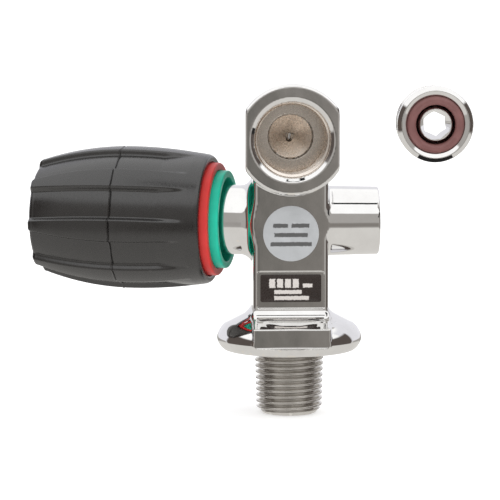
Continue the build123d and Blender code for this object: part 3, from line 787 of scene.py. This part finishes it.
def socket_thread():
    """The socket's female thread, a lining between the mouth's bevel and the seat."""
    angles = even_turns(240)
    first, last = -1.15, -DIN_DEPTH - 0.05
    out = np.linspace(first, last, 150)[:, None]
    ridge = thread_height(out / THREAD_PITCH - angles / (2 * pi))
    ridge = ridge * np.clip((-1.5 - out) / 1.2, 0, 1) * np.clip((out + DIN_DEPTH) / 1.2, 0, 1)
    radius = DIN_RADIUS - (DIN_RADIUS - DIN_CREST_RADIUS) * ridge
    back_out = np.array([last, -7.0, first])[:, None]
    back_radius = DIN_RADIUS + 0.25 + 0 * back_out + 0 * angles
    points = swept_rows(SOCKET, np.vstack([radius, back_radius]), np.vstack([out, back_out]), angles)
    quads = loop_grid(len(out) + len(back_out), len(angles), True)
    piece("socket_thread", points, quads, "valve", "polished_chrome", material=MATERIALS["socket_metal"])


# ---- the knob ----
GRIP_END_ROUND = 1.6
SEAM_T = 52.0


def barrel_radius(height):
    run = np.where(height > WIDEST_T, END_T - WIDEST_T, LIP_T - WIDEST_T)
    drop = WIDEST_RADIUS - np.where(height > WIDEST_T, END_RADIUS, LIP_RADIUS)
    arc = (run**2 + drop**2) / (2 * drop)
    return WIDEST_RADIUS - arc + np.sqrt(arc**2 - (height - WIDEST_T) ** 2)


def smooth_step(value):
    value = np.clip(value, 0, 1)
    return value * value * (3 - 2 * value)


def grip_profile():
    """The grip's closed outline of (radius, height), and 1 for each point on its outside, else 0."""
    lip = [(GRIP_BORE, LIP_T + 0.1), (GRIP_BORE + 0.15, LIP_T), (LIP_RADIUS - 1.1, LIP_T)]
    for a in np.linspace(0.15, 1.4, 6):
        lip.append((LIP_RADIUS - 0.85 + 0.85 * sin(a), LIP_T + 0.9 - 0.9 * cos(a)))
    last = END_T - GRIP_END_ROUND
    near_seam = np.linspace(SEAM_T - 0.9, SEAM_T + 0.9, 37)
    spaced = np.concatenate([
        np.linspace(LIP_T + 1.1, SEAM_T - 1, 75),
        near_seam,
        np.linspace(SEAM_T + 1, last, 72),
    ])
    outer = [(float(barrel_radius(t)), t) for t in spaced]
    reach = float(barrel_radius(last)) - 1.9
    end = [(reach + 1.9 * cos(a), last + GRIP_END_ROUND * sin(a)) for a in np.linspace(0.25, 1.55, 9)]
    inner = [
        (CAP_RADIUS + 1.5, END_T),
        (CAP_RADIUS + 0.25, END_T),
        (CAP_RADIUS, END_T - 0.25),
        (CAP_RADIUS, CORE_END_T),
        (CORE_STEP_RADIUS, CORE_END_T),
        (CORE_STEP_RADIUS, CORE_STEP_T),
        (GRIP_BORE, CORE_STEP_T),
        (GRIP_BORE, 50),
        (GRIP_BORE, LIP_T + 3),
    ]
    outside = np.zeros((len(lip) + len(outer) + len(end) + len(inner), 1))
    outside[len(lip):-len(inner)] = 1
    return np.array(lip + outer + end + inner), outside


def knob_grip():
    """The moulded grip: flat-bottomed flutes that fade towards the lip, and a parting line at its middle."""
    angles = even_turns(720)
    profile, outside = grip_profile()
    radius, height = profile[:, 0:1], profile[:, 1:2]
    half_spacing = FLUTE_SPACING / 2
    turn = np.mod(angles - FLUTE_FIRST_ANGLE + half_spacing, FLUTE_SPACING) - half_spacing
    sideways = np.abs(radius * np.sin(turn))
    fade = np.clip((height - FLUTE_START_T) / FLUTE_FADE, 0, 1)
    flute = FLUTE_DEPTH * fade * smooth_step((FLUTE_HALF_WIDTH + 0.6 - sideways) / 1.2)
    beside_flute = np.exp(-(((sideways - FLUTE_HALF_WIDTH) / 0.8) ** 2))
    seam = height - SEAM_T - 0.4 * beside_flute
    parting = 0.14 * np.exp(-(((seam - 0.2) / 0.15) ** 2)) - 0.3 * np.exp(-(((seam + 0.15) / 0.16) ** 2))
    radius = radius - outside * (flute - parting)
    points = swept_rows(CONTROL, radius, height, angles)
    quads = loop_grid(len(profile), len(angles), True)
    piece("knob_grip_rubber", points, quads, "knob", "black_rubber", ("knob_grip",))


# ---- rings, insert and labels ----
def indicator_rings():
    green = [
        (SLEEVE_CLAMP_RADIUS, NECK_END),
        (SLEEVE_INNER_RADIUS, NECK_END),
        (SLEEVE_INNER_RADIUS, SLEEVE_FACE_T),
        (SLEEVE_OUTER_RADIUS, SLEEVE_FACE_T),
        (SLEEVE_OUTER_RADIUS, INDICATOR_BACK_T),
        (SLEEVE_INNER_RADIUS, INDICATOR_BACK_T),
        (SLEEVE_INNER_RADIUS, BARREL_END_T),
        (BARREL_INNER_RADIUS, BARREL_END_T),
        (BARREL_INNER_RADIUS, SLEEVE_CLAMP_END),
        (SLEEVE_CLAMP_RADIUS, SLEEVE_CLAMP_END),
    ]
    turned_piece("green_indicator", CONTROL, green, 0.5, "valve", "green_plastic", ("green_sleeve",))
    red = [
        (SLEEVE_OUTER_RADIUS, RING_FACE_T),
        (RING_OUTER_RADIUS, RING_FACE_T),
        (RING_OUTER_RADIUS, INDICATOR_BACK_T),
        (SLEEVE_OUTER_RADIUS, INDICATOR_BACK_T),
    ]
    turned_piece("red_indicator", CONTROL, red, 0.55, "valve", "red_plastic", ("red_ring",))


def insert_field(points):
    local = INSERT.local(points)
    rho = np.hypot(local[:, 0], local[:, 1])
    out = local[:, 2]
    head = meet(rho - INSERT_THREAD_RADIUS, np.maximum(out, -INSERT_HEAD - out), 0.1)
    head = meet(head, (rho + out - INSERT_BEVEL_RADIUS) * DIAGONAL, 0.08)
    turns = out / THREAD_PITCH - np.arctan2(local[:, 1], local[:, 0]) / (2 * pi)
    ridge = INSERT_THREAD_DEPTH * thread_height(turns) * np.clip((out + INSERT_LENGTH - 0.2) / 0.6, 0, 1)
    shank = np.maximum((rho - INSERT_ROOT_RADIUS - ridge) * 0.7, slab(out, -INSERT_LENGTH, -1))
    body = np.minimum(head, shank)

    boss_wall = (INSERT_BOSS_RADIUS - INSERT_BOSS_SLOPE * out - rho) / np.hypot(1, INSERT_BOSS_SLOPE)
    groove = np.maximum(np.maximum(boss_wall, rho - FACE_GROOVE_RADIUS), -INSERT_HEAD - out)
    dish = (-out - FACE_SLOPE * (INSERT_RIM_RADIUS - rho)) / np.hypot(1, FACE_SLOPE)
    body = cut(body, np.minimum(groove, np.maximum(boss_wall, dish)), 0.08)
    inner_wall, outer_wall = REAR_GROOVE
    body = cut(body, np.maximum(slab(rho, inner_wall, outer_wall), out + REAR_GROOVE_START), 0.1)
    body = cut(body, (rho - 4.6 - 0.3 * out) / np.hypot(1, 0.3), 0.06)
    return cut(body, hexagon(local, INSERT_HEX, INSERT_HEX_TURN), 0.1)


def insert():
    step = 0.2
    low = np.array(INSERT_CENTRE) - (12, 0.6, 12)
    high = np.array(INSERT_CENTRE) + (12, 10.6, 12)
    net_piece("insert_chrome", insert_field, low, high, step, "insert", "polished_chrome", ("insert_body",))
    ring_cord("face_seal", INSERT, *FACE_ORING, "insert", "brown_oring", ("insert_face_oring",))
    ring_cord("rear_seal", INSERT, *REAR_ORING, "insert", "brown_oring", ("insert_rear_oring",))


def thin_plate(name, outline, centre_z, front_y, thickness, slot, node):
    """A label with slightly rounded rims, from a convex outline of (x, z) points about its own centre."""
    outline, centre = np.array(outline), np.array((0, centre_z))
    rows = [(1.0, 0.0), (1.0, 0.7), (0.9965, 0.92), (0.99, 1.0), (0.6, 1.0), (0.3, 1.0), (0.001, 1.0)]
    points = []
    for share, rise in rows:
        flat = centre + outline * share
        depth = np.full(len(flat), front_y - thickness * rise)
        points.append(np.column_stack([flat[:, 0], depth, flat[:, 1]]))
    piece(name, np.vstack(points), loop_grid(len(rows), len(outline), False), "valve", slot, (node,))


def labels():
    circle = [(STICKER_RADIUS * cos(a), STICKER_RADIUS * sin(a)) for a in even_turns(128)]
    thin_plate(
        "round_label", circle, STICKER_CENTRE_Z, COLUMN_FRONT_Y, STICKER_THICKNESS,
        "grey_sticker", "round_sticker",
    )
    corners = []
    right, up = LABEL_CORNER
    for cx, cz, start in ((right, up, 0), (-right, up, 90), (-right, -up, 180), (right, -up, 270)):
        for angle in range(start, start + 91, 10):
            corners.append((
                cx + LABEL_CORNER_ROUND * cos(radians(angle)),
                cz + LABEL_CORNER_ROUND * sin(radians(angle)),
            ))
    pocket_floor = COLUMN_FRONT_Y + POCKET_DEPTH
    thin_plate(
        "rating_label", corners, LABEL_CENTRE_Z, pocket_floor, LABEL_THICKNESS,
        "black_label", "pressure_label",
    )


# ---- studio ----
TARGET = Vector((-12.1, 0, 30.4)) * MM
CAMERA_AZIMUTH = radians(-2.2)
CAMERA_ELEVATION = radians(7.0)
CAMERA_DISTANCE = 1.0
PICTURE_WIDTH = 0.154
SENSOR_WIDTH = 36
FLOOR_HEIGHT = -0.0202
FLOOR_REACH = 9
DARK_CARD_TONE = 0.02


def camera():
    sight = Vector((
        -sin(CAMERA_AZIMUTH) * cos(CAMERA_ELEVATION),
        cos(CAMERA_AZIMUTH) * cos(CAMERA_ELEVATION),
        -sin(CAMERA_ELEVATION),
    ))
    data = bpy.data.cameras.new("camera")
    data.sensor_width = SENSOR_WIDTH
    data.lens = SENSOR_WIDTH * CAMERA_DISTANCE / PICTURE_WIDTH
    made = bpy.data.objects.new("camera", data)
    made.location = TARGET - sight * CAMERA_DISTANCE
    made.rotation_euler = sight.to_track_quat("-Z", "Y").to_euler()
    bpy.context.scene.collection.objects.link(made)
    bpy.context.scene.camera = made


class Sky(Graph):
    """The studio that the chrome mirrors: a white tent with pale, grey and dark cards round the object.

    A card's turn is how far it stands to either side of the camera's azimuth, and its rise is its elevation.
    Only mirrored rays see the cards. The picture's ground and the light on dull surfaces stay plain white.
    """

    def __init__(self):
        world = bpy.data.worlds.new("studio")
        bpy.context.scene.world = world
        world.use_nodes = True
        super().__init__(world.node_tree)
        direction = self.node("ShaderNodeTexCoord").outputs["Generated"]
        x, y, z = self.node("ShaderNodeSeparateXYZ", {"Vector": direction}).outputs
        turn = self.math("ARCTAN2", x, self.math("MULTIPLY", y, -1.0))
        self.turn = self.math("ABSOLUTE", self.math("SUBTRACT", turn, CAMERA_AZIMUTH))
        self.rise = self.math("ARCSINE", z)
        self.colour = grey(1.0)

    def band(self, value, low, high, softness):
        """1 between two angles in degrees, falling to 0 over the softness outside them."""
        shares = []
        for edge, sign in ((low, 1), (high, -1)):
            ends = (radians(edge - sign * softness / 2), radians(edge + sign * softness / 2))
            shares.append(self.remap(value, *ends, interpolation_type="SMOOTHSTEP"))
        return self.math("MULTIPLY", *shares)

    def card(self, tone, turn, rise, softness=3.0):
        bands = (self.band(self.turn, *turn, softness), self.band(self.rise, *rise, softness))
        self.colour = self.mix(self.math("MULTIPLY", *bands), self.colour, tone)

    def finish(self, strength):
        path = self.node("ShaderNodeLightPath")
        for ray in ("Is Diffuse Ray", "Is Camera Ray"):
            self.colour = self.mix(path.outputs[ray], self.colour, grey(1.0))
        background = self.tree.nodes["Background"]
        self.feed(background.inputs["Color"], self.colour)
        background.inputs["Strength"].default_value = strength


def level_sheet(name, near, far, height, material):
    """A level rectangle between two opposite corners, in metres. It isn't part of the object."""
    (x0, y0), (x1, y1) = near, far
    mesh = bpy.data.meshes.new(name)
    corners = [(x0, y0, height), (x1, y0, height), (x1, y1, height), (x0, y1, height)]
    mesh.from_pydata(corners, [], [(0, 1, 2, 3)])
    mesh.materials.append(material)
    made = bpy.data.objects.new(name, mesh)
    bpy.context.scene.collection.objects.link(made)
    return made


def studio():
    sky = Sky()
    sky.card(colour(0.62, 0.605, 0.58), (-10, 200), (-95, -13), 6.0)
    sky.card(colour(0.74, 0.74, 0.78), (100, 200), (-3, 44), 8.0)
    sky.card(colour(0.34, 0.325, 0.31), (120, 166), (-14, -2), 4.0)
    sky.card(grey(1.0), (170, 200), (-16, 10), 6.0)
    sky.card(colour(0.37, 0.355, 0.34), (-10, 64), (-19, 28))
    sky.card(colour(0.215, 0.20, 0.185), (-10, 24), (-16, -3), 6.0)
    sky.card(colour(0.13, 0.125, 0.115), (-10, 5.0), (-16, 1), 3.0)
    sky.card(colour(0.09, 0.075, 0.068), (62, 118), (-17, 30), 6.0)
    sky.card(grey(0.01), (-10, 31), (60.5, 66.0), 1.0)
    sky.finish(1.25)

    paper = plain_material("floor_paper", grey(0.86), grey(0.85), 0.9)
    surface = paper.node_tree.nodes["Principled BSDF"]
    surface.inputs["Emission Color"].default_value = grey(1.0)
    surface.inputs["Emission Strength"].default_value = 0.4
    reach = FLOOR_REACH
    floor = level_sheet("floor", (-reach, -reach), (reach, reach), FLOOR_HEIGHT, paper)
    floor.visible_glossy = False

    felt = plain_material("card_felt", grey(DARK_CARD_TONE), grey(DARK_CARD_TONE), 0.9, specular=0.1)
    card = level_sheet("dark_card", (0.033, -0.047), (0.053, -0.022), 0.052, felt)
    card.visible_camera = card.visible_diffuse = card.visible_shadow = False

    scene = bpy.context.scene
    scene.view_settings.view_transform = "Standard"
    scene.cycles.max_bounces = 16
    scene.cycles.glossy_bounces = 12


slots = {part["node"]: part["material_slot"] for part in frame["record"]["subparts"]}
for name, node in frame["nodes"].items():
    node.data.materials.clear()
    node.data.materials.append(MATERIALS[slots[name]])

valve_body()
tank_thread()
socket_thread()
knob_grip()
indicator_rings()
insert()
labels()
camera()
studio()
